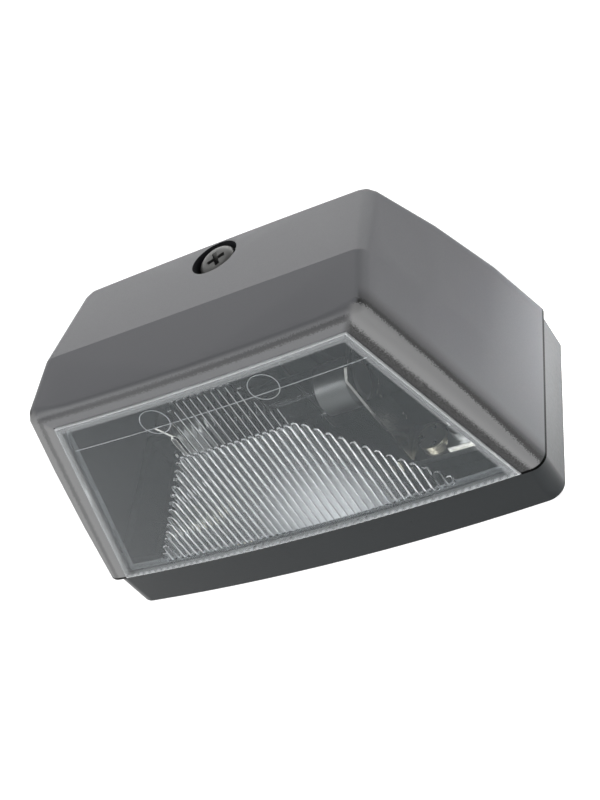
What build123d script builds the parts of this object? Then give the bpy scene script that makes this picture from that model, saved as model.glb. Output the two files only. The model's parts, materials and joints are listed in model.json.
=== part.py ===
"""Number plate lamp: moulded hood over a tray base, clear fluted lens on one long side, festoon bulb inside.

Millimetres. The mounting face is z = 0, the lamp stands up along +Z, the lens looks to -Y and X runs along the length.
"""

import math
import os

from build123d import *

os.makedirs("parts", exist_ok=True)

# Hood: outside form
LENGTH = 88.0
DEPTH = 36.0
PART_Z = 9.3
RIDGE_Z = 50.2
RIDGE_Y = -0.5
ROOF_BACK_FALL = 10.8
FRONT_LEAN = 7.2
FRONT_BOW = 2.0
BACK_BOW = 1.1
END_DRAFTS = (15.8, 17.0, 22.1)
END_SWELLS = (0.3, 0.9, 1.9)
END_CORNER_R = 2.8
BACK_CORNER_R = 2.2
INNER_CORNER_R = 1.2
EDGE_R = 1.5
BACK_EDGE_R = 0.7
HOOD_WALL = 2.0
ROOF_RIB_X = 16.0
ROOF_RIB_T = 1.4
ROOF_RIB_DROP = 4.0

# Lens and the window it fills
LENS_TOP_HALF = 28.1
LENS_BOTTOM_HALF = 39.7
LENS_TOP_Z = 47.0
LENS_PROUD = 0.4
LENS_GAP = 0.15
LENS_SKIN = 1.5
LENS_SKIRT = 1.3
LENS_FLANGE = 0.8
LENS_FLANGE_T = 0.8
LENS_BED = 0.05
FLUTE_PITCH = 1.35
FLUTE_TIP = 0.55
FLUTE_RISE = 0.34
FLUTE_COUNT = 43
FLUTE_COUNT_UPPER = 17
FLUTE_FOOT_V = 2.0
FLUTE_STEP_V = 24.4
FLUTE_STEP = 0.3
GABLE_HALF = 6.0

# Base tray
BASE_INSET = 0.7
BASE_CORNER_R = 3.2
BASE_BACK_CORNER_R = 1.5
GROOVE_CORNER_R = 3.6
BASE_FLOOR = 2.6
PARTING_GAP = 0.35
LIP = 0.6
SEAL_W = 1.3
SEAL_T = 1.6
SPIGOT = 1.6
SPIGOT_RISE = 0.7

# Cover screw and the pillar it bites into
SCREW_Y = 13.7
SCREW_HEAD_R = 3.55
SCREW_HEAD_H = 2.4
SCREW_R = 1.75
SCREW_LENGTH = 16.0
SCREW_SUNK = 0.4
WELL_R = 4.4
WELL_WALL = 1.4
WELL_FLOOR = 1.8
PILLAR_R = 3.2

# Bulb, a 36 mm festoon
BULB_LENGTH = 36.0
BULB_Y = -2.0
BULB_Z = 25.0
GLASS_R = 4.2
GLASS_WALL = 0.6
GLASS_HALF = 13.5
CAP_WALL = 0.3
CAP_GRIP = 2.8
CAP_TIP_R = 2.8
CAP_CONE = 1.4

# Contacts, rivets and terminals
STRIP_T = 0.5
STRIP_W = 8.0
STRIP_BEND = 1.2
FOOT_Z = 5.2
FOOT_LENGTH = 14.0
CONTACT_TOP = 32.5
RIVET_X = 21.5
RIVET_R = 1.5
RIVET_HEAD_R = 2.7
RIVET_HEAD_H = 1.0
RIVET_LENGTH = 4.4
TERMINAL_X = 28.0
TERMINAL_R = 1.5
TERMINAL_HEAD_R = 2.8
TERMINAL_HEAD_H = 2.0
TERMINAL_LENGTH = 5.0
CLAMP_SIDE = 7.0
CLAMP_T = 0.7

# Mounting holes and cable inlet
MOUNT_SPACING = 60.0
MOUNT_Y = 8.2
MOUNT_R = 2.7
CABLE_Y = 0.0
CABLE_R = 2.5
GROMMET_NECK_R = 4.2
GROMMET_FLANGE_R = 6.0
GROMMET_FLANGE_T = 1.4

REACH = LENGTH


def tan(degrees):
    return math.tan(math.radians(degrees))


def cos(degrees):
    return math.cos(math.radians(degrees))


def sin(degrees):
    return math.sin(math.radians(degrees))


def bow_radius(chord, rise):
    return (chord * chord / 4 + rise * rise) / (2 * rise)


WINDOW_RISE = (LENS_TOP_Z - PART_Z) / cos(FRONT_LEAN)
FRONT_R = bow_radius(LENGTH, FRONT_BOW)
BACK_R = bow_radius(LENGTH, BACK_BOW)

# Plane of the leaning front through the hood's lower front corners: x along the length, y up the slope, z outward
front = Plane(
    origin=(0, -DEPTH / 2, PART_Z),
    x_dir=(1, 0, 0),
    z_dir=(0, -cos(FRONT_LEAN), sin(FRONT_LEAN)),
)


def front_drum(inset):
    """Everything behind the bowed, leaning front face, moved inward by inset."""
    axis = front.from_local_coords(Vector(0, 0, FRONT_BOW - FRONT_R))
    return Plane(origin=axis, x_dir=(1, 0, 0), z_dir=front.y_dir) * Cylinder(FRONT_R - inset, 4 * REACH)


def back_drum(inset):
    """Everything before the bowed, upright back face, moved inward by inset."""
    return Pos(0, DEPTH / 2 + BACK_BOW - BACK_R, 0) * Cylinder(BACK_R - inset, 4 * REACH)


def sag(radius, x):
    """How far a bowed face of that radius has fallen back at x."""
    return radius - math.sqrt(radius * radius - x * x)


def end_half(y_share, z):
    """Half length of the hood at height z: y_share is 0 on the lens side, 1 on the ridge and 2 at the back."""
    draft, swell = END_DRAFTS[y_share], END_SWELLS[y_share]
    share = (z - PART_Z) / (RIDGE_Z - PART_Z)
    return LENGTH / 2 - (z - PART_Z) * tan(draft) + 4 * swell * share * (1 - share)


def lens_side_section(z, inset, round_in, corner_r):
    """Level outline of the half between ridge and lens, drawn in by inset and by the roof edge's rounding."""
    mid = -DEPTH / 2 - FRONT_BOW + (z - PART_Z) * tan(FRONT_LEAN) + inset / cos(FRONT_LEAN) + round_in
    ridge_half = end_half(1, z) - inset / cos(END_DRAFTS[1]) - round_in
    half = end_half(0, z) - inset / cos(END_DRAFTS[0]) - round_in
    corner_y = mid + sag(FRONT_R, half)
    ends = Polyline((half, corner_y), (ridge_half, RIDGE_Y), (-ridge_half, RIDGE_Y), (-half, corner_y))
    face = make_face([ThreePointArc((-half, corner_y), (0, mid), (half, corner_y)), ends])
    corners = face.vertices().sort_by(Axis.Y)[:2]
    return Pos(0, 0, z) * fillet(corners, corner_r - round_in)


def back_section(z, fall, inset, round_in, corner_r):
    """Outline of the half between ridge and back on a plane that falls to the back from height z on the ridge."""
    mid = (DEPTH / 2 + BACK_BOW - round_in * BACK_EDGE_R / EDGE_R - RIDGE_Y) / cos(fall)
    low = z - mid * sin(fall)
    ridge_half = end_half(1, z) - inset / cos(END_DRAFTS[1]) - round_in
    half = end_half(2, low) - inset / cos(END_DRAFTS[2]) - round_in
    corner_y = mid - sag(BACK_R, half)
    ends = Polyline((-half, corner_y), (-ridge_half, 0), (ridge_half, 0), (half, corner_y))
    face = make_face([ThreePointArc((half, corner_y), (0, mid), (-half, corner_y)), ends])
    corners = face.vertices().sort_by(Axis.Y)[-2:]
    slope = Plane(origin=(0, RIDGE_Y, z), x_dir=(1, 0, 0), z_dir=(0, sin(fall), cos(fall)))
    return slope * fillet(corners, corner_r - round_in)


def hood_form(inset, low, edge_r, corner_r, back_corner_r, walls, strips):
    """Hood shape with front, ends and roof moved inward by inset: two lofts that meet on the ridge.

    walls are the shares of the wall's height with a section, strips the steps of the roof edge's rounding.
    """
    top = RIDGE_Z - inset
    spring = top - edge_r
    front_half, back_half = [], []
    for share in walls:
        z = low + (spring - low) * share
        front_half.append(lens_side_section(z, inset, 0, corner_r))
        back_half.append(back_section(z, ROOF_BACK_FALL * share, inset, 0, back_corner_r))
    for i in range(strips):
        turn = 90 * (i + 1) / strips
        z = spring + edge_r * sin(turn)
        round_in = edge_r * (1 - cos(turn))
        front_half.append(lens_side_section(z, inset, round_in, corner_r))
        back_half.append(back_section(z, ROOF_BACK_FALL, inset, round_in, back_corner_r))
    return loft(front_half, ruled=True) + loft(back_half, ruled=True)


def rim(inset, front_corner, back_corner):
    """Outline of the rim on the parting plane, moved inward by inset, with its corner radii on both sides."""
    x, y = LENGTH / 2 - inset, DEPTH / 2 - inset
    edges = [
        ThreePointArc((-x, -y), (0, -y - FRONT_BOW), (x, -y)),
        Line((x, -y), (x, y)),
        ThreePointArc((x, y), (0, y + BACK_BOW), (-x, y)),
        Line((-x, y), (-x, -y)),
    ]
    face = make_face(edges)
    face = fillet(face.vertices().sort_by(Axis.Y)[:2], front_corner)
    return fillet(face.vertices().sort_by(Axis.Y)[-2:], back_corner)


def window(gap, low):
    """Trapezium of the window on the front plane from height low up, drawn in by gap (out when negative)."""
    slope = (LENS_BOTTOM_HALF - LENS_TOP_HALF) / WINDOW_RISE
    side = gap * math.hypot(1, slope)
    high = WINDOW_RISE - gap
    half_low = LENS_BOTTOM_HALF - low * slope - side
    half_high = LENS_BOTTOM_HALF - high * slope - side
    points = [(-half_low, low), (half_low, low), (half_high, high), (-half_high, high)]
    return make_face(Polyline(*points, close=True))


def through_front(face):
    """Prism on a face drawn in the front plane, deep enough to pass the whole front wall."""
    return front * extrude(Pos(0, 0, -DEPTH / 3) * face, DEPTH * 2 / 3)


def front_layer(outer, inner):
    """Layer along the bowed front between two depths below the hood's face."""
    return front_drum(outer) - front_drum(inner)


def disc(x, y, z, radius, height):
    """Upright cylinder standing on height z."""
    return Pos(x, y, z) * Cylinder(radius, height, align=(Align.CENTER, Align.CENTER, Align.MIN))


def turned(x, y, points):
    """Body of revolution about the upright axis through x, y from (radius, height) points."""
    outline = make_face(Polyline(*[(r, 0, z) for r, z in points], close=True))
    return Pos(x, y, 0) * revolve(outline, Axis.Z)


def turned_along_x(points):
    """Body of revolution about the bulb's axis from (x, radius) points."""
    outline = make_face(Polyline(*[(x, 0, r) for x, r in points], close=True))
    return Pos(0, BULB_Y, BULB_Z) * revolve(outline, Axis.X)


def write(name, shape):
    shape.label = name
    export_step(shape, os.path.join("parts", name + ".step"))


# Hood: rounded shell, screw well, roof ribs and the three-sided window
outer = hood_form(0, PART_Z, EDGE_R, END_CORNER_R, BACK_CORNER_R, (0, 0.35, 0.7, 1), 2)
cavity = hood_form(HOOD_WALL, PART_Z - SEAL_T, 0, INNER_CORNER_R, INNER_CORNER_R, (0, 1), 0)
cavity &= back_drum(HOOD_WALL)

SCREW_ROOF_Z = RIDGE_Z - (SCREW_Y - RIDGE_Y) * tan(ROOF_BACK_FALL)
SEAT_Z = SCREW_ROOF_Z - SCREW_SUNK - SCREW_HEAD_H
PILLAR_Z = SEAT_Z - WELL_FLOOR
well = disc(0, SCREW_Y, PILLAR_Z, WELL_R + WELL_WALL, REACH) & outer
roof_ribs = [
    Pos(x, 0, RIDGE_Z) * Box(ROOF_RIB_T, DEPTH, 2 * (HOOD_WALL + ROOF_RIB_DROP)) & cavity
    for x in (-ROOF_RIB_X, ROOF_RIB_X)
]
roof_ribs = [rib - through_front(window(-LENS_FLANGE - LENS_GAP, -LENS_FLANGE)) for rib in roof_ribs]
hood = outer - cavity + well
for rib in roof_ribs:
    hood += rib.solids().sort_by(SortBy.VOLUME)[-1]
hood -= disc(0, SCREW_Y, SEAT_Z, WELL_R, REACH)
hood -= disc(0, SCREW_Y, PILLAR_Z - 1, SCREW_R + 0.2, REACH)
hood -= through_front(window(0, -SEAL_T - 2)) & front_layer(-2, HOOD_WALL + 0.5)
write("hood", hood)

# Lens: skin flush in the window, skirt round it, flange behind the hood wall and flutes inside
LENS_DEPTH = HOOD_WALL + LENS_FLANGE_T
opening = window(LENS_GAP + LENS_SKIRT, LENS_SKIRT)
skin = through_front(window(LENS_GAP, -2)) & front_layer(-LENS_PROUD, LENS_SKIN - LENS_PROUD)
skirt = through_front(window(LENS_GAP, -2) - opening) & front_layer(-LENS_PROUD, LENS_DEPTH)
flange = through_front(window(-LENS_FLANGE, -2) - opening) & front_layer(HOOD_WALL + LENS_BED, LENS_DEPTH)
lens = skin + skirt + flange
lens &= Pos(0, 0, PART_Z) * Box(2 * LENGTH, 2 * LENGTH, 4 * REACH, align=(Align.CENTER, Align.CENTER, Align.MIN))


def lens_inside(x):
    """Level of the lens skin's inner face at x, from the front plane."""
    radius = FRONT_R - LENS_SKIN + LENS_PROUD
    return FRONT_BOW - FRONT_R + math.sqrt(radius * radius - x * x)


def fluted_pad(count, low, outline):
    """Ridges side by side on the lens skin's inner face, cut to an outline drawn in the front plane."""
    edge = count * FLUTE_PITCH / 2
    teeth = [(-edge, 0, lens_inside(edge))]
    for i in range(count):
        x = i * FLUTE_PITCH - edge + FLUTE_PITCH / 2
        tip = lens_inside(x) - FLUTE_RISE
        root = x + FLUTE_PITCH / 2
        teeth += [(x - FLUTE_TIP / 2, 0, tip), (x + FLUTE_TIP / 2, 0, tip), (root, 0, lens_inside(root) - 0.02)]
    bed = lens_inside(edge) + LENS_SKIN / 2
    crown = lens_inside(0) + LENS_SKIN / 2
    profile = make_face([
        Polyline((-edge, 0, bed), *teeth, (edge, 0, bed)),
        ThreePointArc((edge, 0, bed), (0, 0, crown), (-edge, 0, bed)),
    ])
    ridges = extrude(profile, WINDOW_RISE, dir=(0, 1, 0))
    return front * Pos(0, low, 0) * ridges & through_front(make_face(Polyline(*outline, close=True)))


FLUTE_HALF = FLUTE_COUNT * FLUTE_PITCH / 2
SHOULDER = FLUTE_COUNT_UPPER * FLUTE_PITCH / 2
FLUTE_TOP_V = WINDOW_RISE - LENS_GAP - LENS_SKIRT - FLUTE_PITCH / 2
lens += fluted_pad(FLUTE_COUNT, FLUTE_FOOT_V, [
    (-FLUTE_HALF, FLUTE_FOOT_V), (FLUTE_HALF, FLUTE_FOOT_V), (FLUTE_HALF, FLUTE_FOOT_V + FLUTE_PITCH),
    (SHOULDER, FLUTE_STEP_V), (-SHOULDER, FLUTE_STEP_V), (-FLUTE_HALF, FLUTE_FOOT_V + FLUTE_PITCH),
])
lens += fluted_pad(FLUTE_COUNT_UPPER, FLUTE_STEP_V + FLUTE_STEP, [
    (-SHOULDER, FLUTE_STEP_V + FLUTE_STEP), (SHOULDER, FLUTE_STEP_V + FLUTE_STEP),
    (GABLE_HALF, FLUTE_TOP_V), (-GABLE_HALF, FLUTE_TOP_V),
])
write("lens", lens)

# Base tray: floor, walls with the seal groove, spigot, pillar, pads and bosses
GROOVE = BASE_INSET + LIP
SPIGOT_OUT = GROOVE + SEAL_W
TRAY = SPIGOT_OUT + SPIGOT
SEAL_Z = PART_Z - SEAL_T


def plug(inset, low, high):
    """Upright block between two heights on a line that runs beside the groove, inset from the rim."""
    corner = GROOVE_CORNER_R - inset + GROOVE
    return Pos(0, 0, low) * extrude(rim(inset, corner, corner), high - low)


base = extrude(rim(BASE_INSET, BASE_CORNER_R, BASE_BACK_CORNER_R), PART_Z - PARTING_GAP)
base -= plug(GROOVE, SEAL_Z, REACH) - plug(SPIGOT_OUT, SEAL_Z, REACH)
base += plug(SPIGOT_OUT, BASE_FLOOR, PART_Z + SPIGOT_RISE)
base -= plug(TRAY, BASE_FLOOR, REACH)

pillar = disc(0, SCREW_Y, 0, PILLAR_R, PILLAR_Z)
pillar &= plug(SPIGOT_OUT, 0, PILLAR_Z)
lens_seat = through_front(window(-LENS_FLANGE - 0.3, -2)) & front_layer(-2, LENS_DEPTH + 0.25)
base -= lens_seat & plug(0, PART_Z, REACH)
GUSSET_TOP = 0.6 * PILLAR_Z
GUSSET_RUN = 3.2 * PILLAR_R
gusset = make_face(Polyline(
    (-GUSSET_RUN, SCREW_Y, BASE_FLOOR / 2),
    (GUSSET_RUN, SCREW_Y, BASE_FLOOR / 2),
    (PILLAR_R - 0.5, SCREW_Y, GUSSET_TOP),
    (0.5 - PILLAR_R, SCREW_Y, GUSSET_TOP),
    close=True,
))
base += pillar
base += extrude(gusset, 0.8, both=True)
for side in (-1, 1):
    pad_x = side * (RIVET_X + TERMINAL_X) / 2
    pad = Pos(pad_x, BULB_Y, BASE_FLOOR / 2) * Box(
        FOOT_LENGTH + 2, STRIP_W + 1.6, FOOT_Z - BASE_FLOOR / 2, align=(Align.CENTER, Align.CENTER, Align.MIN)
    )
    base += pad
for side in (-1, 1):
    base -= disc(side * MOUNT_SPACING / 2, MOUNT_Y, -1, MOUNT_R, REACH)
    base -= disc(side * RIVET_X, BULB_Y, FOOT_Z - RIVET_LENGTH, RIVET_R, REACH)
    base -= disc(side * TERMINAL_X, BULB_Y, BASE_FLOOR / 2, TERMINAL_R + 0.2, REACH)
base -= disc(0, CABLE_Y, -1, GROMMET_NECK_R, BASE_FLOOR + 2)
base -= disc(0, SCREW_Y, SEAT_Z - SCREW_LENGTH - 1, SCREW_R, REACH)
write("base_plate", base)

# Seal lying in the groove of the base under hood rim and lens
seal = plug(GROOVE, SEAL_Z, PART_Z) - plug(SPIGOT_OUT, SEAL_Z, PART_Z)
write("hood_seal", seal)

# Cover screw: pan head with cross recess on a plain shank
SCREW_END = SEAT_Z - SCREW_LENGTH
shank = [(0, SCREW_END), (SCREW_R, SCREW_END), (SCREW_R, SEAT_Z)]
head = [
    (SCREW_HEAD_R, SEAT_Z),
    (SCREW_HEAD_R, SEAT_Z + 0.7 * SCREW_HEAD_H),
    (0.8 * SCREW_HEAD_R, SEAT_Z + SCREW_HEAD_H),
    (0, SEAT_Z + SCREW_HEAD_H),
]
screw = turned(0, SCREW_Y, shank + head)
CROSS_HALF = 0.55 * SCREW_HEAD_R
CROSS_T = 0.26 * SCREW_HEAD_R
CROSS_DEPTH = 0.62 * SCREW_HEAD_H
blade = make_face(Polyline(
    (-CROSS_HALF, 0, SCREW_HEAD_H + 0.5),
    (CROSS_HALF, 0, SCREW_HEAD_H + 0.5),
    (0.35 * CROSS_HALF, 0, SCREW_HEAD_H - CROSS_DEPTH),
    (-0.35 * CROSS_HALF, 0, SCREW_HEAD_H - CROSS_DEPTH),
    close=True,
))
blade = extrude(blade, CROSS_T / 2, both=True)
for turn in (20, 110):
    screw -= Pos(0, SCREW_Y, SEAT_Z) * Rot(0, 0, turn) * blade
write("cover_screw", screw)

# Festoon bulb: glass tube, metal caps with tapered tips, filament on two lead wires
CAP_R = GLASS_R + CAP_WALL
CAP_IN = GLASS_HALF - CAP_GRIP
TIP_X = BULB_LENGTH / 2
CONE_X = TIP_X - CAP_CONE
HOLLOW_X = GLASS_HALF - GLASS_WALL
HOLLOW_R = GLASS_R - GLASS_WALL
glass = turned_along_x([(-GLASS_HALF, 0), (-GLASS_HALF, GLASS_R), (GLASS_HALF, GLASS_R), (GLASS_HALF, 0)])
glass -= turned_along_x([(-HOLLOW_X, 0), (-HOLLOW_X, HOLLOW_R), (HOLLOW_X, HOLLOW_R), (HOLLOW_X, 0)])
COIL_HALF = 5.5
COIL_R = 0.3
WIRE_R = 0.2
coil = turned_along_x([(-COIL_HALF, 0), (-COIL_HALF, COIL_R), (COIL_HALF, COIL_R), (COIL_HALF, 0)])
write("bulb_filament", coil)
write("bulb_glass", glass)
cap = turned_along_x([
    (CAP_IN, GLASS_R), (CAP_IN, CAP_R), (CONE_X, CAP_R), (TIP_X, CAP_TIP_R), (TIP_X, 0), (CONE_X, 0), (CONE_X, GLASS_R),
])
lead = turned_along_x([(COIL_HALF, 0), (HOLLOW_X, 0), (HOLLOW_X, WIRE_R), (COIL_HALF, WIRE_R)])
for side, name in ((1, "right"), (-1, "left")):
    this_cap = cap if side > 0 else mirror(cap, Plane.YZ)
    this_lead = lead if side > 0 else mirror(lead, Plane.YZ)
    write("bulb_cap_" + name, this_cap)
    write("bulb_lead_" + name, this_lead)

# Spring contacts: bent strip, foot on the pad, upright leaf gripping the cap's tip in its hole
GRIP_R = (CAP_R + CAP_TIP_R) / 2
LEAF_X = CONE_X + (CAP_R - GRIP_R) * (TIP_X - CONE_X) / (CAP_R - CAP_TIP_R)
FOOT_END = (RIVET_X + TERMINAL_X) / 2 + FOOT_LENGTH / 2
strip = make_face(Polyline(
    (LEAF_X, 0, FOOT_Z),
    (FOOT_END, 0, FOOT_Z),
    (FOOT_END, 0, FOOT_Z + STRIP_T),
    (LEAF_X + STRIP_T, 0, FOOT_Z + STRIP_T),
    (LEAF_X + STRIP_T, 0, CONTACT_TOP - 3),
    (LEAF_X + STRIP_T + 1.5, 0, CONTACT_TOP),
    (LEAF_X + 1.5, 0, CONTACT_TOP),
    (LEAF_X, 0, CONTACT_TOP - 3),
    close=True,
))
contact = Pos(0, BULB_Y, 0) * extrude(strip, STRIP_W / 2, both=True)
bends = [e for e in contact.edges() if e.length > STRIP_W - 0.1 and e.center().Z < FOOT_Z + STRIP_T + 0.1]
heel = [e for e in bends if abs(e.center().X - LEAF_X) < 0.1]
toe = [e for e in bends if abs(e.center().X - LEAF_X - STRIP_T) < 0.1]
contact = fillet(heel, STRIP_BEND + STRIP_T)
toe = [e for e in contact.edges() if e.length > STRIP_W - 0.1 and (e.center() - toe[0].center()).length < 0.1]
contact = fillet(toe, STRIP_BEND)
contact -= Pos(LEAF_X, BULB_Y, BULB_Z) * Rot(0, 90, 0) * Cylinder(GRIP_R, STRIP_W)
contact -= disc(RIVET_X, BULB_Y, 0, RIVET_R, FOOT_Z + 2)
contact -= disc(TERMINAL_X, BULB_Y, 0, TERMINAL_R, FOOT_Z + 2)
STRIP_Z = FOOT_Z + STRIP_T
HEAD_Z = STRIP_Z + CLAMP_T
for side, name in ((1, "right"), (-1, "left")):
    write("contact_" + name, contact if side > 0 else mirror(contact, Plane.YZ))
    rivet = turned(side * RIVET_X, BULB_Y, [
        (0, FOOT_Z - RIVET_LENGTH), (RIVET_R, FOOT_Z - RIVET_LENGTH), (RIVET_R, STRIP_Z), (RIVET_HEAD_R, STRIP_Z),
        (RIVET_HEAD_R, STRIP_Z + RIVET_HEAD_H), (0, STRIP_Z + RIVET_HEAD_H),
    ])
    write("contact_rivet_" + name, rivet)
    clamp = Pos(side * TERMINAL_X, BULB_Y, STRIP_Z + CLAMP_T / 2) * Box(CLAMP_SIDE, CLAMP_SIDE, CLAMP_T)
    clamp -= disc(side * TERMINAL_X, BULB_Y, STRIP_Z, TERMINAL_R + 0.1, CLAMP_T)
    write("terminal_clamp_" + name, clamp)
    terminal = turned(side * TERMINAL_X, BULB_Y, [
        (0, HEAD_Z - TERMINAL_LENGTH), (TERMINAL_R, HEAD_Z - TERMINAL_LENGTH), (TERMINAL_R, HEAD_Z),
        (TERMINAL_HEAD_R, HEAD_Z), (TERMINAL_HEAD_R, HEAD_Z + TERMINAL_HEAD_H), (0, HEAD_Z + TERMINAL_HEAD_H),
    ])
    slot = Pos(side * TERMINAL_X, BULB_Y, HEAD_Z + TERMINAL_HEAD_H) * Box(3 * TERMINAL_HEAD_R, 0.8, TERMINAL_HEAD_H)
    write("terminal_screw_" + name, terminal - slot)

# Rubber grommet of the cable inlet, pushed in from inside
GROMMET_TOP = BASE_FLOOR + GROMMET_FLANGE_T
grommet = disc(0, CABLE_Y, 0, GROMMET_NECK_R, GROMMET_TOP)
grommet += disc(0, CABLE_Y, BASE_FLOOR, GROMMET_FLANGE_R, GROMMET_FLANGE_T)
grommet -= disc(0, CABLE_Y, -1, CABLE_R, REACH)
write("cable_grommet", grommet)
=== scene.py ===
import json
import math

import bmesh
import bpy
from mathutils import Matrix, Vector


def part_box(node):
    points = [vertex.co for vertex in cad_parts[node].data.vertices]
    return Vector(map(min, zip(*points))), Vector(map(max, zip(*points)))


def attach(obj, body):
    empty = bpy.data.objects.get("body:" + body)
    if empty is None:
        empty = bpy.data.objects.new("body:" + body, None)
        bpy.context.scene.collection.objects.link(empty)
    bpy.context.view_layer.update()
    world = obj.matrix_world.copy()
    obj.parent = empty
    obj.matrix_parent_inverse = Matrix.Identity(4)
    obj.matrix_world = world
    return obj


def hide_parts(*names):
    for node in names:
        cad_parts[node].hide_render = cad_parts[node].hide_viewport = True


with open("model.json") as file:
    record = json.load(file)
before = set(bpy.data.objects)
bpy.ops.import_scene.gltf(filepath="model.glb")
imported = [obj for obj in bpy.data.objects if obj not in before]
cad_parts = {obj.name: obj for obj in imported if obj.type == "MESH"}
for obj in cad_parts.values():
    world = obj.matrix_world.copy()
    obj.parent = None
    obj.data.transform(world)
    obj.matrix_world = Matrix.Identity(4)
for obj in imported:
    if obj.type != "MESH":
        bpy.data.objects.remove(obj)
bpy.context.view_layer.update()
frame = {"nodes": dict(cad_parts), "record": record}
nodes = frame["nodes"]
scene = bpy.context.scene
MM = 0.001


# Front face and lens in mm: x runs along the lens, v up its slope, depth in from the hood's face

LENGTH = 88.0
DEPTH = 36.0
PART_Z = 9.3
LEAN = math.radians(7.2)
BOW = 2.0
FRONT_R = (LENGTH * LENGTH / 4 + BOW * BOW) / (2 * BOW)
LENS_TOP_HALF = 28.1
LENS_BOTTOM_HALF = 39.7
LENS_TOP_Z = 47.0
WINDOW_RISE = (LENS_TOP_Z - PART_Z) / math.cos(LEAN)
SLOPE = (LENS_BOTTOM_HALF - LENS_TOP_HALF) / WINDOW_RISE
SKEW = math.hypot(1, SLOPE)
PROUD = 0.4
GAP = 0.15
SKIN = 1.5
SKIRT = 1.3
SKIRT_END = 2.8
FLANGE = 0.8
FLANGE_TOP = 2.05


# Nodes of materials

def new_material(name):
    mat = bpy.data.materials.new(name)
    mat.use_nodes = True
    tree = mat.node_tree
    return mat, tree, tree.nodes["Principled BSDF"]


def add(tree, kind, **values):
    """New node, with values for its inputs or its own settings."""
    node = tree.nodes.new(kind)
    for key, value in values.items():
        if key in node.inputs:
            node.inputs[key].default_value = value
        else:
            setattr(node, key, value)
    return node


def wire(tree, node, values):
    """Gives a node's inputs sockets or numbers in order."""
    for i, value in enumerate(values):
        if isinstance(value, bpy.types.NodeSocket):
            tree.links.new(value, node.inputs[i])
        else:
            node.inputs[i].default_value = value
    return node.outputs[0]


def calc(tree, operation, *values):
    node = add(tree, "ShaderNodeMath", operation=operation)
    return wire(tree, node, values)


def times(tree, a, b):
    return calc(tree, "MULTIPLY", a, b)


def largest(tree, a, b):
    return calc(tree, "MAXIMUM", a, b)


def between(tree, share, a, b):
    return calc(tree, "MULTIPLY_ADD", share, calc(tree, "SUBTRACT", b, a), a)


def along(tree, parts, weights, offset):
    """Weighted sum of a place's parts."""
    total = offset
    for part, weight in zip(parts, weights):
        total = calc(tree, "MULTIPLY_ADD", part, weight, total)
    return total


def ramp(tree, value, low, high, to_low=0.0, to_high=1.0):
    """Smooth change of a value between two limits."""
    node = add(tree, "ShaderNodeMapRange", interpolation_type="SMOOTHSTEP")
    return wire(tree, node, (value, low, high, to_low, to_high))


def window(tree, value, rise, fall):
    """One inside a span of a value, with soft ends given as (from, to) pairs."""
    return times(tree, ramp(tree, value, *rise), ramp(tree, value, *fall))


def blend(tree, share, a, b):
    """Colour between a and b; each is a socket or a colour."""
    node = add(tree, "ShaderNodeMix", data_type="RGBA")
    for name, value in (("Factor", share), ("A", a), ("B", b)):
        socket = [i for i in node.inputs if i.name == name and i.enabled][0]
        if isinstance(value, bpy.types.NodeSocket):
            tree.links.new(value, socket)
        else:
            socket.default_value = value if name == "Factor" else (*value, 1)
    return [o for o in node.outputs if o.enabled][0]


def split(tree, vector):
    node = add(tree, "ShaderNodeSeparateXYZ")
    tree.links.new(vector, node.inputs[0])
    return node.outputs


def noise(tree, vector, scale, detail=3.0, roughness=0.55):
    node = add(tree, "ShaderNodeTexNoise", Scale=scale, Detail=detail, Roughness=roughness)
    tree.links.new(vector, node.inputs["Vector"])
    return node.outputs["Fac"]


def relief(tree, bsdf, height, strength, distance):
    node = add(tree, "ShaderNodeBump", Distance=distance)
    tree.links.new(height, node.inputs["Height"])
    wire(tree, node, (strength,))
    tree.links.new(node.outputs["Normal"], bsdf.inputs["Normal"])


# Smooth plastic and rubber

COOL = (0.88, 0.96, 1.0)
CLOUD_SCALE = 60.0
GRAIN_HIGH = 0.12 * MM


def plastic(name, colour, colour_low, roughness, grain, grain_scale, bump, gloss):
    """Moulded plastic: fine etched grain, slight cloudiness in colour and gloss."""
    mat, tree, bsdf = new_material(name)
    place = add(tree, "ShaderNodeTexCoord").outputs["Object"]
    fine = noise(tree, place, grain_scale)
    broad = noise(tree, place, CLOUD_SCALE, detail=4.0, roughness=0.6)
    dull = ramp(tree, fine, 0, 1, roughness - grain, roughness + grain)
    tree.links.new(blend(tree, broad, colour_low, colour), bsdf.inputs["Base Color"])
    tree.links.new(dull, bsdf.inputs["Roughness"])
    relief(tree, bsdf, fine, bump, GRAIN_HIGH)
    bsdf.inputs["Specular IOR Level"].default_value = gloss
    bsdf.inputs["Specular Tint"].default_value = (*COOL, 1)
    return mat


# Grained plastic of the hood, with painted shade and highlight bands: soft limits as (from, to) pairs,
# with places and depths in mm

# The face tone is the plastic's own colour; the two paler tones are painted highlight, the three darker
# ones painted shade, and the black one a painted shadow in the parting gap
HOOD_TONES = {
    "face": (0.08, 0.0815, 0.088),
    "fade": (0.024, 0.0245, 0.026),
    "front": (0.156, 0.157, 0.158),
    "corner": (0.115, 0.116, 0.117),
    "painted_shade": (0.005, 0.005, 0.0053),
    "inside": (0.014, 0.015, 0.017),
    "seam_shadow": (0.001, 0.001, 0.001),
}
RIM_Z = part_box("hood")[0][2] / MM
CLOUD_SHARES = (0.95, 1.05)
HOOD_CLOUD_SCALE = 0.055
SPECK_SCALE = 4.2
SPECK_DULL = (0.44, 0.56)
GRAIN_STRAY = 1.4
INWARD = (-1, -3)
DOWN_SLANT = (-0.2, -0.4)
END_SLANT = (0.25, 0.5)
CORNER_SLANT = (0.15, 0.7)
FRONT_DEPTH = (1.0, 0.4)
SIDE_OVER_TOP = (-1, 1)
RING_RISE = (1.4, 1.9)
RING_FALL = (2.7, 2.3)
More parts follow.
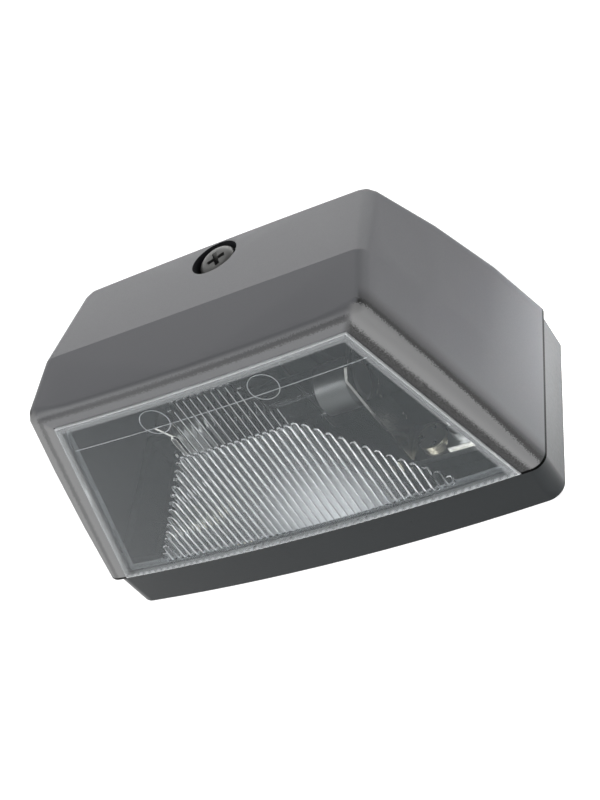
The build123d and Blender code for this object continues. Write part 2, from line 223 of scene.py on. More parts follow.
RING_ENDS = (-35, 25)
RING_SHARES = (0.5, 0.7)
NEAR_LENS = (2.2, 1.2)
RIGHT_SIDE = (0, 15)
LINE_RISE = (0.4, 0.8)
LINE_FALL = (1.6, 1.1)
SPECK_LIMITS = (0.3, 0.7)
SPECK_SHARES = (1.0, 0.8)
BARE_EDGE = (2.4, 1.8)
BARE_SHARES = (0, 0.45)
ROLL_RISE = (2.0, 2.5)
ROLL_FALL = (3.4, 2.8)
ROLL_SHARE = 0.3
END_FADE_DEPTH = (4.6, 1.2)
SEAM_RISE = (0.55, 0.4)
ETCH_DEPTH = (2.0, 0.8)
ETCH_SHARES = (0.1, 0.4)
ETCH_HIGH = 0.06 * MM


def inner_face(tree, place, turn):
    """One on faces that look into the hood."""
    sideways = [times(tree, place[i], turn[i]) for i in (0, 1)]
    inward = [ramp(tree, product, *INWARD) for product in sideways]
    downward = ramp(tree, turn[2], *DOWN_SLANT)
    return largest(tree, largest(tree, *inward), downward)


def grain_and_painted_light(name, tones, rim_z):
    """Matt moulded plastic with etched grain outside, plain inside and painted darker there as shade,
    with painted bands of shade and highlight.

    The bands follow the distance from the lens outline on the front, and the depth behind the
    front on the ends.
    """
    mat, tree, bsdf = new_material(name)
    coord = add(tree, "ShaderNodeTexCoord")
    scaled = add(tree, "ShaderNodeVectorMath", operation="SCALE", Scale=1 / MM)
    tree.links.new(coord.outputs["Object"], scaled.inputs[0])
    place = split(tree, scaled.outputs[0])
    turn = split(tree, coord.outputs["Normal"])
    x, y, z = place
    speck = noise(tree, scaled.outputs[0], SPECK_SCALE, detail=2.0, roughness=0.6)
    broad = noise(tree, scaled.outputs[0], HOOD_CLOUD_SCALE, detail=4.0, roughness=0.6)
    stray = calc(tree, "MULTIPLY_ADD", speck, GRAIN_STRAY, -GRAIN_STRAY / 2)

    sin = math.sin(LEAN)
    cos = math.cos(LEAN)
    aside = calc(tree, "ABSOLUTE", x)
    climb = along(tree, (y, z), (sin, cos), DEPTH / 2 * sin - PART_Z * cos)
    behind = along(tree, (y, z), (cos, -sin), DEPTH / 2 * cos + PART_Z * sin)
    beside = along(tree, (aside, climb), (1 / SKEW, SLOPE / SKEW), -LENS_BOTTOM_HALF / SKEW)
    above = calc(tree, "SUBTRACT", climb, WINDOW_RISE)
    reach = calc(tree, "ADD", largest(tree, beside, above), stray)
    depth = calc(tree, "ADD", behind, stray)
    lateral = ramp(tree, calc(tree, "SUBTRACT", beside, above), *SIDE_OVER_TOP)
    slant = calc(tree, "ABSOLUTE", turn["X"])
    end = ramp(tree, slant, *END_SLANT)
    front = ramp(tree, depth, *FRONT_DEPTH)

    # Painted shade: a dark band round the top of the lens, darker to the right, and a dark strip beside
    # the lens on its sides
    ring = window(tree, reach, RING_RISE, RING_FALL)
    ring = times(tree, ring, ramp(tree, x, *RING_ENDS, *RING_SHARES))
    near = ramp(tree, reach, *NEAR_LENS)
    right = times(tree, lateral, ramp(tree, x, *RIGHT_SIDE))
    painted_shade_strip = times(tree, front, between(tree, right, ring, near))
    # Painted shade: a dark line on the ends just behind the front rounding
    line = times(tree, end, window(tree, depth, LINE_RISE, LINE_FALL))
    specks = ramp(tree, speck, *SPECK_LIMITS, *SPECK_SHARES)
    painted_shade = times(tree, largest(tree, painted_shade_strip, line), specks)
    # Painted highlight: a pale band on the front face and its rounding beside the lens, fainter above it
    bare = largest(tree, lateral, ramp(tree, reach, *BARE_EDGE, *BARE_SHARES))
    painted_highlight = times(tree, front, bare)
    painted_highlight_tone = blend(tree, ramp(tree, slant, *CORNER_SLANT), tones["front"], tones["corner"])
    # Painted shade on the rounded upper front edge and on the ends towards the front
    rolled_shade = times(tree, times(tree, front, ROLL_SHARE), window(tree, above, ROLL_RISE, ROLL_FALL))
    fade = largest(tree, rolled_shade, times(tree, end, ramp(tree, behind, *END_FADE_DEPTH)))
    # Painted shade: faces that look into the hood take a darker tone
    inside = inner_face(tree, place, turn)
    outside = calc(tree, "SUBTRACT", 1.0, inside)
    # Painted shadow in the parting gap, along the hood's rim
    seam_shadow = ramp(tree, z, rim_z + SEAM_RISE[0], rim_z + SEAM_RISE[1])

    cloudy = [[share * c for c in tones["face"]] for share in CLOUD_SHARES]
    tone = blend(tree, broad, *cloudy)
    # Painted shade, painted highlight, the darker inside and the seam's painted shadow go over the
    # plastic's own cloudy tone
    tone = blend(tree, fade, tone, tones["fade"])
    tone = blend(tree, painted_highlight, tone, painted_highlight_tone)
    tone = blend(tree, painted_shade, tone, tones["painted_shade"])
    tone = blend(tree, inside, tone, tones["inside"])
    tone = blend(tree, seam_shadow, tone, tones["seam_shadow"])
    tree.links.new(tone, bsdf.inputs["Base Color"])
    # Black metal has no sheen, so the painted shadow at the parting seam looks like a gap
    tree.links.new(seam_shadow, bsdf.inputs["Metallic"])
    tree.links.new(ramp(tree, speck, 0, 1, *SPECK_DULL), bsdf.inputs["Roughness"])
    etch = times(tree, ramp(tree, behind, *ETCH_DEPTH, *ETCH_SHARES), outside)
    relief(tree, bsdf, speck, etch, ETCH_HIGH)
    return mat


# Metal and clear materials

DRAWN_SCALE = (400, 400, 4000)
DRAWN_SMOOTHER = 0.03
DRAWN_DULLER = 0.04
SCRATCH_HIGH = 0.05 * MM
WAVE_SCALE = 90.0
WAVE_HIGH = 0.2 * MM
LEAST_CLEAR = 0.1


def metal(name, colour, roughness, scratch):
    """Plated metal with fine drawn scratches."""
    mat, tree, bsdf = new_material(name)
    place = add(tree, "ShaderNodeTexCoord").outputs["Object"]
    stretch = add(tree, "ShaderNodeMapping", Scale=DRAWN_SCALE)
    tree.links.new(place, stretch.inputs["Vector"])
    drawn = noise(tree, stretch.outputs["Vector"], scale=1.0)
    dull = ramp(tree, drawn, 0, 1, roughness - DRAWN_SMOOTHER, roughness + DRAWN_DULLER)
    tree.links.new(dull, bsdf.inputs["Roughness"])
    relief(tree, bsdf, drawn, scratch, SCRATCH_HIGH)
    bsdf.inputs["Base Color"].default_value = (*colour, 1)
    bsdf.inputs["Metallic"].default_value = 1.0
    return mat


def waves(tree, bsdf, strength):
    """Slight waviness of a clear surface."""
    place = add(tree, "ShaderNodeTexCoord").outputs["Object"]
    relief(tree, bsdf, noise(tree, place, WAVE_SCALE, detail=1.0), strength, WAVE_HIGH)


def clear(name, ior, roughness):
    """Clear glass, slightly wavy."""
    mat, tree, bsdf = new_material(name)
    waves(tree, bsdf, strength=0.04)
    bsdf.inputs["Roughness"].default_value = roughness
    bsdf.inputs["IOR"].default_value = ior
    bsdf.inputs["Transmission Weight"].default_value = 1.0
    return mat


def frosted_by_attribute(name, ior, tint, clearest, dullest):
    """Clear moulding that turns to a pale frost where the mesh's frost attribute says so."""
    mat, tree, bsdf = new_material(name)
    frost = add(tree, "ShaderNodeAttribute", attribute_name="frost").outputs["Fac"]
    tree.links.new(ramp(tree, frost, 0, 1, 1.0, LEAST_CLEAR), bsdf.inputs["Transmission Weight"])
    tree.links.new(ramp(tree, frost, 0, 1, clearest, dullest), bsdf.inputs["Roughness"])
    waves(tree, bsdf, strength=0.02)
    bsdf.inputs["Base Color"].default_value = (*tint, 1)
    bsdf.inputs["Specular Tint"].default_value = (*COOL, 1)
    bsdf.inputs["IOR"].default_value = ior
    return mat


# Finish of each material slot

finish = {
    "hood_plastic": grain_and_painted_light("hood_plastic", HOOD_TONES, RIM_Z),
    "base_plastic": plastic(
        "base_plastic", (0.0065, 0.0075, 0.0082), (0.005, 0.006, 0.0066),
        roughness=0.3, grain=0.04, grain_scale=1500.0, bump=0.06, gloss=0.27,
    ),
    "seal_rubber": plastic(
        "seal_rubber", (0.018, 0.018, 0.018), (0.012, 0.012, 0.012),
        roughness=0.7, grain=0.08, grain_scale=1800.0, bump=0.2, gloss=0.5,
    ),
    "lens_clear": frosted_by_attribute(
        "lens_clear", ior=1.42, tint=(0.87, 0.895, 0.91), clearest=0.02, dullest=0.27,
    ),
    "bulb_glass": clear("bulb_glass", ior=1.12, roughness=0.0),
    "screw_steel": metal("screw_steel", (0.14, 0.14, 0.136), roughness=0.45, scratch=0.2),
    "cap_metal": metal("cap_metal", (0.18, 0.18, 0.177), roughness=0.42, scratch=0.05),
    "filament_wire": metal("filament_wire", (0.1, 0.1, 0.104), roughness=0.5, scratch=0.1),
    "contact_brass": metal("contact_brass", (0.8, 0.78, 0.72), roughness=0.25, scratch=0.04),
    "rivet_brass": metal("rivet_brass", (0.7, 0.66, 0.56), roughness=0.28, scratch=0.15),
    "terminal_steel": metal("terminal_steel", (0.66, 0.66, 0.65), roughness=0.3, scratch=0.2),
}
for part in frame["record"]["subparts"]:
    mesh = nodes[part["node"]].data
    mesh.materials.clear()
    mesh.materials.append(finish[part["material_slot"]])


# Smooth shading over soft edges only; the hood also keeps its roof's ridge sharp

RIDGE_Y = -0.5 * MM
RIDGE_Z = 50.2 * MM
RIDGE_NEAR = 0.1 * MM
RIDGE_DROP = 1.2 * MM
WELD = 0.001 * MM
COMPARE_VECTOR_A = 4
COMPARE_VECTOR_B = 5
SOFT_DEGREES = 38
HOOD_DEGREES = 55
FACE_WEIGHT = 60


def on_ridge(tree):
    """True within a small distance of the roof's ridge."""
    place = add(tree, "GeometryNodeInputPosition")
    flat = add(tree, "ShaderNodeVectorMath", operation="MULTIPLY_ADD")
    flat.inputs[1].default_value = (0, 1 / RIDGE_NEAR, 1 / RIDGE_DROP)
    flat.inputs[2].default_value = (0, -RIDGE_Y / RIDGE_NEAR, -RIDGE_Z / RIDGE_DROP)
    tree.links.new(place.outputs["Position"], flat.inputs[0])
    near = add(tree, "FunctionNodeCompare", data_type="VECTOR", mode="LENGTH", operation="LESS_THAN")
    tree.links.new(flat.outputs["Vector"], near.inputs[COMPARE_VECTOR_A])
    near.inputs[COMPARE_VECTOR_B].default_value = (1, 0, 0)
    return near.outputs["Result"]


def soft_edges(name, limit, keep_ridge):
    """Node group that shades smooth but keeps edges over a limit in degrees sharp."""
    tree = bpy.data.node_groups.new(name, "GeometryNodeTree")
    for way in ("INPUT", "OUTPUT"):
        tree.interface.new_socket("Geometry", in_out=way, socket_type="NodeSocketGeometry")
    link = tree.links.new
    start = add(tree, "NodeGroupInput")
    end = add(tree, "NodeGroupOutput")
    weld = add(tree, "GeometryNodeMergeByDistance", Distance=WELD)
    angle = add(tree, "GeometryNodeInputMeshEdgeAngle")
    sharp = add(tree, "FunctionNodeCompare", operation="GREATER_THAN")
    sharp.inputs[1].default_value = math.radians(limit)
    link(angle.outputs["Unsigned Angle"], sharp.inputs[0])
    keep = sharp.outputs["Result"]
    if keep_ridge:
        either = add(tree, "FunctionNodeBooleanMath", operation="OR")
        link(keep, either.inputs[0])
        link(on_ridge(tree), either.inputs[1])
        keep = either.outputs["Boolean"]
    smooth = add(tree, "GeometryNodeSetShadeSmooth")
    store = add(tree, "GeometryNodeStoreNamedAttribute", data_type="BOOLEAN", domain="EDGE")
    store.inputs["Name"].default_value = "sharp_edge"
    link(start.outputs[0], weld.inputs["Geometry"])
    link(weld.outputs["Geometry"], smooth.inputs["Geometry"])
    link(smooth.outputs["Geometry"], store.inputs["Geometry"])
    link(keep, store.inputs["Value"])
    link(store.outputs["Geometry"], end.inputs[0])
    return tree


soft = soft_edges("soft_edges", SOFT_DEGREES, False)
soft_hood = soft_edges("soft_hood_edges", HOOD_DEGREES, True)


def smooth_edges(obj, group):
    obj.modifiers.new("soft_edges", "NODES").node_group = group
    weighted = obj.modifiers.new("weighted", "WEIGHTED_NORMAL")
    weighted.keep_sharp = True
    weighted.weight = FACE_WEIGHT


for name, node in nodes.items():
    smooth_edges(node, soft_hood if name == "hood" else soft)


# New pieces

def add_object(name, data):
    obj = bpy.data.objects.new(name, data)
    scene.collection.objects.link(obj)
    return obj


def as_mesh(bm, name):
    """Mesh of a closed form, with its faces turned outward."""
    bmesh.ops.recalc_face_normals(bm, faces=bm.faces)
    mesh = bpy.data.meshes.new(name)
    bm.to_mesh(mesh)
    bm.free()
    return mesh


def new_piece(name, mesh, slot):
    """Piece with one finish, shaded smooth over its soft edges."""
    obj = add_object(name, mesh)
    obj.data.materials.clear()
    obj.data.materials.append(finish[slot])
    smooth_edges(obj, soft)
    return obj


# Places on the lens

UP_SLOPE = Vector((0, math.sin(LEAN), math.cos(LEAN)))
OUTWARD = Vector((0, -math.cos(LEAN), math.sin(LEAN)))
CORNER = Vector((0, -DEPTH / 2, PART_Z))


def level(x, depth):
    """Distance from the front plane of the bowed face at a depth below the hood's face."""
    return BOW - FRONT_R + math.sqrt((FRONT_R - depth) ** 2 - x * x)


def at_front(x, v, w):
    return (CORNER + Vector((x, 0, 0)) + UP_SLOPE * v + OUTWARD * w) * MM


def half_width(v, inset):
    return LENS_BOTTOM_HALF - v * SLOPE - inset * SKEW


def low_edge(inset):
    return max(0.0, inset - GAP)


def above_part(x, v, depth):
    """v, raised where that depth of the lens would reach below the parting level."""
    return max(v, -level(x, depth) * math.tan(LEAN))


# Flutes inside the lens, in mm, and their frost, from 0, clear, to 1, dull

PITCH = 1.35
FLUTE_COUNT = 43
UPPER_COUNT = 17
FLUTE_HALF = FLUTE_COUNT * PITCH / 2
SHOULDER = UPPER_COUNT * PITCH / 2
TIP_R = PITCH / 2
FOOT_V = 2.0
STEP_V = 24.4
STEP = 0.3
GABLE_HALF = 6.0
GABLE_V = WINDOW_RISE - GAP - SKIRT - TIP_R
LEAST_RUN = 0.1
ON_FLUTE = 1.001
RISE_LOWER = 0.34
RISE_UPPER = 0.1
LINE_FROM = 0.76
FROST_UPPER_LINE = 0.62
FROST_LINE = 0.42
FROST_LOWER = 0.25
# Lower frost thins to the value below between the two places after it, so the right side shows darker, as
# painted shade
FROST_FAR = 0.08
FADE_FROM = 11.0
FADE_TO = 21.0
# A frosted heart near the foot of the flutes, placed as painted light
FROST_HEART = 0.6
HEART_X = 7.0
HEART_V = 3.0
HEART_WIDE = 10.5
HEART_HIGH = 9.0
HEART_CUT = 0.8


def arch(off, rise):
    """Height of a rounded ridge at a distance from its axis."""
    radius = (PITCH * PITCH / 4 + rise * rise) / (2 * rise)
    return math.sqrt(max(radius * radius - off * off, 0)) - radius + rise


def line_share(off):
    """Zero on a flute's back, rising to one on the line between two flutes."""
    return max(off - LINE_FROM, 0) / (1 - LINE_FROM)


def lower_frost(x, v, off):
    """Frost on the lines, plus frost in a heart near the foot as painted light, thinning to the right as
    painted shade.
    """
    heart = math.exp(-((x - HEART_X) / HEART_WIDE) ** 2 - ((v - HEART_V) / HEART_HIGH) ** 2)
    fade = min(1.0, max(0.0, (x - FADE_FROM) / (FADE_TO - FADE_FROM)))
    line = line_share(off)
    dull = FROST_LOWER + (FROST_FAR - FROST_LOWER) * fade
    dull += FROST_HEART * heart * (1 - HEART_CUT * line) + FROST_LINE * line * (1 - heart)
    return min(dull, 1.0)


def flute_height(x, v):
    """How far the flutes stand in from the lens skin, and how frosted they are there.

    The flutes are capsules side by side, a taller row below the step and a lower row above it.
    """
    i = round(x / PITCH)
    if abs(i) > (FLUTE_COUNT - 1) // 2:
        return 0.0, 0.0
    axis = i * PITCH
    top = STEP_V
    if abs(axis) > SHOULDER:
        share = (abs(axis) - SHOULDER) / (FLUTE_HALF - SHOULDER)
        top = FOOT_V + PITCH + (STEP_V - FOOT_V - PITCH) * (1 - share)
    high = max(top - TIP_R, FOOT_V + LEAST_RUN)
    off = math.hypot(x - axis, max(v - high, 0.0)) / TIP_R
    if v >= FOOT_V and off <= ON_FLUTE:
        return arch(min(off, 1.0) * TIP_R, RISE_LOWER), lower_frost(x, v, off)
    if abs(axis) >= SHOULDER or v <= STEP_V:
        return 0.0, 0.0
    gable = GABLE_V
    if abs(axis) > GABLE_HALF:
        share = (abs(axis) - GABLE_HALF) / (SHOULDER - GABLE_HALF)
        gable += (STEP_V + STEP - gable) * share
    off = math.hypot(x - axis, max(v - gable + TIP_R, 0.0)) / TIP_R
    if off > ON_FLUTE:
        return 0.0, 0.0
    rise = RISE_UPPER * min(1.0, (v - STEP_V) / STEP)
    return arch(min(off, 1.0) * TIP_R, rise), FROST_UPPER_LINE * line_share(off)


# Lens: one closed skin with the flutes inside, skirt and flange as in the CAD

ROUND = 0.15
BEVEL = 0.2
BEVEL_MID = 0.06
LOW_BEVEL = 0.6
LOW_V = 0.6
INNER_IN = GAP + SKIRT + ROUND
OUTER_IN = GAP + BEVEL
V_LOW = low_edge(INNER_IN)
V_HIGH = WINDOW_RISE - INNER_IN
ROW_STEP = 0.3
FLUTE_COLUMNS = 6
SIDE_COLUMNS = 40
MID_FLUTES = 38
FROST_EDGE = 0.26
EDGE_BAND = 1.6
EDGE_FADE = 0.3
FROST_RIM = 0.5
FROST_SKIRT = 0.3
DASH_MEAN = 0.66
DASH_SWING = 0.34
DOUBLES = 0.0001 * MM


def lens_plan():
    """Rows of (x, v) places on the inner face, with columns that follow the flutes in the middle."""
    rows = int((V_HIGH - V_LOW) / ROW_STEP)
    mid_half = MID_FLUTES * PITCH / 2
    mid = [-mid_half + i * PITCH / FLUTE_COLUMNS for i in range(MID_FLUTES * FLUTE_COLUMNS + 1)]
    plan = []
    for r in range(rows + 1):
        v = V_LOW + (V_HIGH - V_LOW) * r / rows
        side = half_width(v, INNER_IN)
        left = [-side + (side - mid_half) * i / SIDE_COLUMNS for i in range(SIDE_COLUMNS)]
        plan.append([(x, v) for x in left + mid + [-x for x in reversed(left)]])
    return plan


def moved(x, v, inset, low):
    """The same place on the outline drawn in by another inset."""
    share = (v - V_LOW) / (V_HIGH - V_LOW)
    v_new = low + (WINDOW_RISE - inset - low) * share
    return x * half_width(v_new, inset) / half_width(v, INNER_IN), v_new


def dashes(x):
    """Frost along the lower bevel, strongest where a flute ends."""
    return DASH_MEAN + DASH_SWING * math.cos(2 * math.pi * x / PITCH)


def edge_frost(x, v):
    """Pale band over the skirt, along the outline."""
    side = (half_width(v, 0) - abs(x)) / SKEW
    near = min(side, WINDOW_RISE - v, v + GAP)
    return FROST_EDGE * min(1.0, max(0.0, (EDGE_BAND - near) / EDGE_FADE))


def lens_mesh():
    plan = lens_plan()
    rows = len(plan) - 1
    columns = len(plan[0])
    bm = bmesh.new()
    frost = bm.verts.layers.float.new("frost")

    def vert(x, v, depth, lift, dull):
        new = bm.verts.new(at_front(x, v, level(x, depth) - lift))
        new[frost] = dull
        return new

    inner = [[vert(x, v, SKIN - PROUD, *flute_height(x, v)) for x, v in row] for row in plan]
    outer = []
    for row in plan:
        spots = [moved(x, v, OUTER_IN, LOW_BEVEL) for x, v in row]
        outer.append([vert(x, v, -PROUD, 0.0, edge_frost(x, v)) for x, v in spots])
    for r in range(rows):
        for c in range(columns - 1):
            bm.faces.new((inner[r][c], inner[r + 1][c], inner[r + 1][c + 1], inner[r][c + 1]))
            bm.faces.new((outer[r][c], outer[r][c + 1], outer[r + 1][c + 1], outer[r + 1][c]))

    edge = [(0, c) for c in range(columns - 1)] + [(r, columns - 1) for r in range(rows)]
    edge += [(rows, c) for c in range(columns - 1, 0, -1)] + [(r, 0) for r in range(rows, 0, -1)]
    loops = [[outer[r][c] for r, c in edge]]
    bevels = (
        (GAP + BEVEL_MID, -PROUD + BEVEL_MID, LOW_BEVEL / 2),
        (GAP, -PROUD + BEVEL, 0.0),
    )
    for inset, depth, low in bevels:
        low_depth = LOW_BEVEL * (1 - low / LOW_BEVEL) ** 2 - PROUD
        loop = []
        for r, c in edge:
            x, v = moved(*plan[r][c], inset, low)
            if r == 0:
                loop.append(vert(x, above_part(x, v, low_depth), low_depth, 0.0, dashes(x)))
            else:
                loop.append(vert(x, v, depth, 0.0, FROST_RIM))
        loops.append(loop)
    steps = (
        (GAP, FLANGE_TOP),
        (-FLANGE, FLANGE_TOP),
        (-FLANGE, SKIRT_END),
        (GAP + SKIRT, SKIRT_END),
        (GAP + SKIRT, SKIN - PROUD + ROUND),
    )
    for inset, depth in steps:
        loop = []
        for r, c in edge:
            x, v = moved(*plan[r][c], inset, low_edge(inset))
            if r == 0 or v < LOW_V:
                v = above_part(x, v, depth)
            loop.append(vert(x, v, depth, 0.0, FROST_SKIRT))
        loops.append(loop)
    loops.append([inner[r][c] for r, c in edge])
    count = len(edge)
    for a, b in zip(loops, loops[1:]):
        for i in range(count):
            j = (i + 1) % count
            bm.faces.new((a[i], b[i], b[j], a[j]))
    bmesh.ops.remove_doubles(bm, verts=bm.verts, dist=DOUBLES)
    return as_mesh(bm, "fluted_lens")


lens = new_piece("fluted_lens", lens_mesh(), "lens_clear")
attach(lens, "root")
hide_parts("lens")


# Cover screw in mm: domed head with a deep cross recess on a threaded shank

SCREW_Y = 13.7
SCREW_LOW, SCREW_HIGH = (corner[2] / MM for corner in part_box("cover_screw"))
SCREW_SIDES = 48
HEAD_R = 3.55
HEAD_H = 2.4
HEAD_EDGE = 0.1
HEAD_WALL_SHARE = 0.6
HEAD_FLAT_SHARE = 0.55
HEAD_TOP_SHARE = 0.5
DOME_STEPS = 8
SHANK_R = 1.75
SHANK_END_SHARE = 0.7
THREAD_PITCH = 1.0
THREAD_FLANK = 0.3
THREAD_ROOT_SHARE = 0.78
CROSS_TURN = math.radians(20)
CROSS_DEPTH = 1.7
CROSS_OVER = 0.5
CROSS_HALF = 1.85
CROSS_T = 0.9
CROSS_MOUTH_SHARES = (1.12, 1.05)
CROSS_FLOOR_SHARES = (0.4, 0.7)


def revolved(name, outline, around):
    """Closed mesh turned about the screw's axis from (radius, height) points that start and end on it."""
    bm = bmesh.new()
    turns = [2 * math.pi * i / around for i in range(around)]
    rings = []
    for r, z in outline[1:-1]:
        spots = [(r * math.cos(t) * MM, (SCREW_Y + r * math.sin(t)) * MM, z * MM) for t in turns]
        rings.append([bm.verts.new(spot) for spot in spots])
    for a, b in zip(rings, rings[1:]):
        for i in range(around):
            j = (i + 1) % around
            bm.faces.new((a[i], a[j], b[j], b[i]))
    for ring, z in ((rings[0], outline[0][1]), (rings[-1], outline[-1][1])):
        tip = bm.verts.new((0, SCREW_Y * MM, z * MM))
        for i in range(around):
            bm.faces.new((ring[i], ring[(i + 1) % around], tip))
    return as_mesh(bm, name)


def screw_outline():
    """Blunt shank with thread crests and a domed head."""
    seat = SCREW_HIGH - HEAD_H
    root = SHANK_R * THREAD_ROOT_SHARE
    points = [(0, SCREW_LOW), (SHANK_R * SHANK_END_SHARE, SCREW_LOW)]
    for i in range(int((seat - SCREW_LOW) / THREAD_PITCH)):
        crest = SCREW_LOW + (i + 0.5) * THREAD_PITCH
        points += [(root, crest - THREAD_FLANK), (SHANK_R, crest), (root, crest + THREAD_FLANK)]
    points += [(SHANK_R, seat - HEAD_EDGE), (SHANK_R, seat)]
    points += [(HEAD_R - HEAD_EDGE, seat), (HEAD_R, seat + HEAD_EDGE)]
    rim = seat + HEAD_WALL_SHARE * HEAD_H
    points.append((HEAD_R, rim))
    for i in range(1, DOME_STEPS):
        lean = math.pi / 2 * i / DOME_STEPS
        share = HEAD_FLAT_SHARE + (1 - HEAD_FLAT_SHARE) * math.cos(lean)
        points.append((HEAD_R * share, rim + (SCREW_HIGH - rim) * math.sin(lean)))
    return points + [(HEAD_R * HEAD_TOP_SHARE, SCREW_HIGH), (0, SCREW_HIGH)]


def cross_section(bm, turn, z, shares):
    """Corners of one wing of the cross at a height, at shares of its half width and thickness."""
    half = CROSS_HALF * shares[0]
    thick = CROSS_T * shares[1]
    corners = ((-half, -thick / 2), (half, -thick / 2), (half, thick / 2), (-half, thick / 2))
    verts = []
    for x, y in corners:
        turned_x = x * math.cos(turn) - y * math.sin(turn)
        turned_y = x * math.sin(turn) + y * math.cos(turn)
        verts.append(bm.verts.new((turned_x * MM, (SCREW_Y + turned_y) * MM, z * MM)))
    return verts


def cross_cutter():
    """Two tapered wings at right angles."""
    bm = bmesh.new()
    for turn in (CROSS_TURN, CROSS_TURN + math.pi / 2):
        top = cross_section(bm, turn, SCREW_HIGH + CROSS_OVER, CROSS_MOUTH_SHARES)
        low = cross_section(bm, turn, SCREW_HIGH - CROSS_DEPTH, CROSS_FLOOR_SHARES)
        bm.faces.new(top)
        bm.faces.new(low[::-1])
        for i in range(len(top)):
            j = (i + 1) % len(top)
            bm.faces.new((top[j], top[i], low[i], low[j]))
    return as_mesh(bm, "cross")


def cut_mesh(mesh, cutter):
    """Mesh less the cutter."""
    body = add_object("body", mesh)
    tool = add_object("tool", cutter)
    cut = body.modifiers.new("cut", "BOOLEAN")
    cut.object = tool
    cut.solver = "EXACT"
    cut.use_self = True
    graph = bpy.context.evaluated_depsgraph_get()
    result = bpy.data.meshes.new_from_object(body.evaluated_get(graph))
    for obj in (body, tool):
        bpy.data.objects.remove(obj)
    return result


screw_mesh = cut_mesh(revolved("screw", screw_outline(), SCREW_SIDES), cross_cutter())
screw = new_piece("cross_head_screw", screw_mesh, "screw_steel")
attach(screw, "root")
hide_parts("cover_screw")


# Moulding marks on the lens's inner face: two ejector rings and the fine line under its top edge

MARK_R = 0.09
MARK_SIDES = 6
MARK_X = 10.5
MARK_V = 33.0
MARK_RING_R = 2.6
MARK_RING_POINTS = 64
MARK_LINE_V = 31.8
MARK_LINE_IN = 0.2
MARK_LINE_RUNS = 40
FROST_MARK = 0.5


def bead(bm, path, closed):
    """Half-sunk bead along (x, v) points on the lens's inner face."""
    count = len(path)
    rings = []
    for i, (x, v) in enumerate(path):
        before = path[i - 1] if closed or i else path[i]
        after = path[(i + 1) % count] if closed or i < count - 1 else path[i]
        run = Vector((after[0] - before[0], after[1] - before[1])).normalized()
        ring = []
        for k in range(MARK_SIDES):
            turn = 2 * math.pi * k / MARK_SIDES
            aside = MARK_R * math.cos(turn)
            spot_x = x - run.y * aside
            spot_v = v + run.x * aside
            spot_w = level(spot_x, SKIN - PROUD) + MARK_R * math.sin(turn)
            ring.append(bm.verts.new(at_front(spot_x, spot_v, spot_w)))
        rings.append(ring)
    last = count if closed else count - 1
    for i in range(last):
        a = rings[i]
        b = rings[(i + 1) % count]
        for k in range(MARK_SIDES):
            j = (k + 1) % MARK_SIDES
            bm.faces.new((a[k], a[j], b[j], b[k]))
    if not closed:
        bm.faces.new(rings[0])
        bm.faces.new(rings[-1][::-1])


def mark_mesh():
    bm = bmesh.new()
    turns = [2 * math.pi * i / MARK_RING_POINTS for i in range(MARK_RING_POINTS)]
    for x in (-MARK_X, MARK_X):
        ring = [(x + MARK_RING_R * math.cos(t), MARK_V + MARK_RING_R * math.sin(t)) for t in turns]
        bead(bm, ring, True)
    half = half_width(MARK_LINE_V, GAP + SKIRT + MARK_LINE_IN)
    line = [(-half + 2 * half * i / MARK_LINE_RUNS, MARK_LINE_V) for i in range(MARK_LINE_RUNS + 1)]
    bead(bm, line, False)
    frost = bm.verts.layers.float.new("frost")
    for vert in bm.verts:
        vert[frost] = FROST_MARK
    return as_mesh(bm, "moulding_marks")


marks = new_piece("moulding_marks", mark_mesh(), "lens_clear")
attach(marks, "root")


# Floor and light, in metres and watts

FLOOR_HALF = 3.0
FLOOR_Z = -0.1 * MM
FLOOR_DARKER = (0.60, 0.60, 0.60)
FLOOR_LIGHTER = (0.64, 0.64, 0.64)
FLOOR_GLOW = 0.62
WORLD_GLOW = 0.3
WHITE = (1, 1, 1, 1)


def pale_floor():
    corners = ((-1, -1), (1, -1), (1, 1), (-1, 1))
    mesh = bpy.data.meshes.new("floor")
    mesh.from_pydata([(x * FLOOR_HALF, y * FLOOR_HALF, FLOOR_Z) for x, y in corners], [], [(0, 1, 2, 3)])
    obj = add_object("floor", mesh)
    mat, tree, bsdf = new_material("floor")
    mottle = add(tree, "ShaderNodeTexNoise", Scale=3.0, Detail=2.0).outputs["Fac"]
    tree.links.new(blend(tree, mottle, FLOOR_DARKER, FLOOR_LIGHTER), bsdf.inputs["Base Color"])
    bsdf.inputs["Roughness"].default_value = 0.9
    bsdf.inputs["Specular IOR Level"].default_value = 0.1
    bsdf.inputs["Emission Color"].default_value = WHITE
    bsdf.inputs["Emission Strength"].default_value = FLOOR_GLOW
    mesh.materials.append(mat)


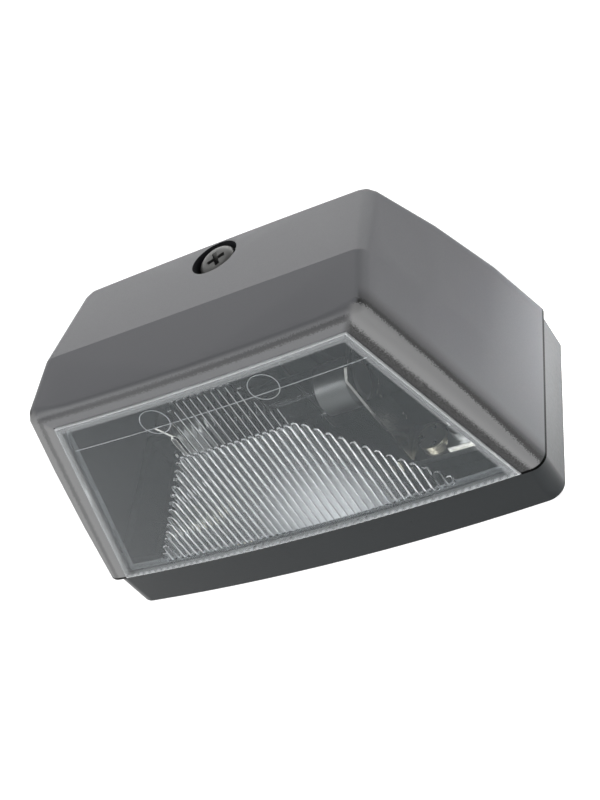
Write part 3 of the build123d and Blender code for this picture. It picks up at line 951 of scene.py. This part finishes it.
def area_light(name, place, aim, size, power, spread=180):
    data = bpy.data.lights.new(name, "AREA")
    data.shape = "RECTANGLE"
    data.size, data.size_y = size
    data.energy = power
    data.spread = math.radians(spread)
    obj = add_object(name, data)
    obj.location = place
    obj.rotation_euler = (Vector(aim) - Vector(place)).to_track_quat("-Z", "Y").to_euler()
    obj.visible_camera = False


pale_floor()
area_light("rear", place=(-0.05, 0.62, 0.20), aim=(0, 0, 0.04), size=(1.1, 0.16), power=2.7)
area_light("side", place=(0.62, 0.02, 0.24), aim=(0.04, 0, 0.03), size=(0.5, 0.3), power=0.92)
area_light(
    "right_front", place=(0.62, -0.46, 0.10), aim=(0.02, -0.01, 0.025), size=(0.35, 0.12), power=2.2,
)
area_light("front", place=(0.05, -0.75, 0.22), aim=(0, 0, 0.03), size=(0.8, 0.3), power=1.2)
area_light("top_left", place=(-0.45, -0.30, 0.60), aim=(-0.02, 0, 0.04), size=(0.5, 0.4), power=4.7)
area_light(
    "right_floor", place=(0.11, 0.22, 0.14), aim=(0.058, 0.018, 0), size=(0.02, 0.02),
    power=0.022, spread=9,
)

world = bpy.data.worlds.new("studio")
scene.world = world
world.use_nodes = True
backdrop = world.node_tree.nodes["Background"]
backdrop.inputs["Color"].default_value = WHITE
backdrop.inputs["Strength"].default_value = WORLD_GLOW
scene.view_settings.view_transform = "Standard"


# Camera at the photo's viewing angle

CAMERA_PLACE = Vector((0.1133, -0.1577, 0.1767))
CAMERA_RIGHT = Vector((0.8548, 0.0949, -0.5102))
CAMERA_FORWARD = Vector((-0.4451, 0.6396, -0.6267))
CAMERA_UP = CAMERA_RIGHT.cross(CAMERA_FORWARD).normalized()

camera = bpy.data.cameras.new("camera")
camera.lens = 63.5
camera.sensor_width = 36.0
camera.clip_start = 0.01
camera.clip_end = 20.0
shot = add_object("camera", camera)
shot.matrix_world = Matrix((
    (CAMERA_RIGHT.x, CAMERA_UP.x, -CAMERA_FORWARD.x, CAMERA_PLACE.x),
    (CAMERA_RIGHT.y, CAMERA_UP.y, -CAMERA_FORWARD.y, CAMERA_PLACE.y),
    (CAMERA_RIGHT.z, CAMERA_UP.z, -CAMERA_FORWARD.z, CAMERA_PLACE.z),
    (0, 0, 0, 1),
))
scene.camera = shot
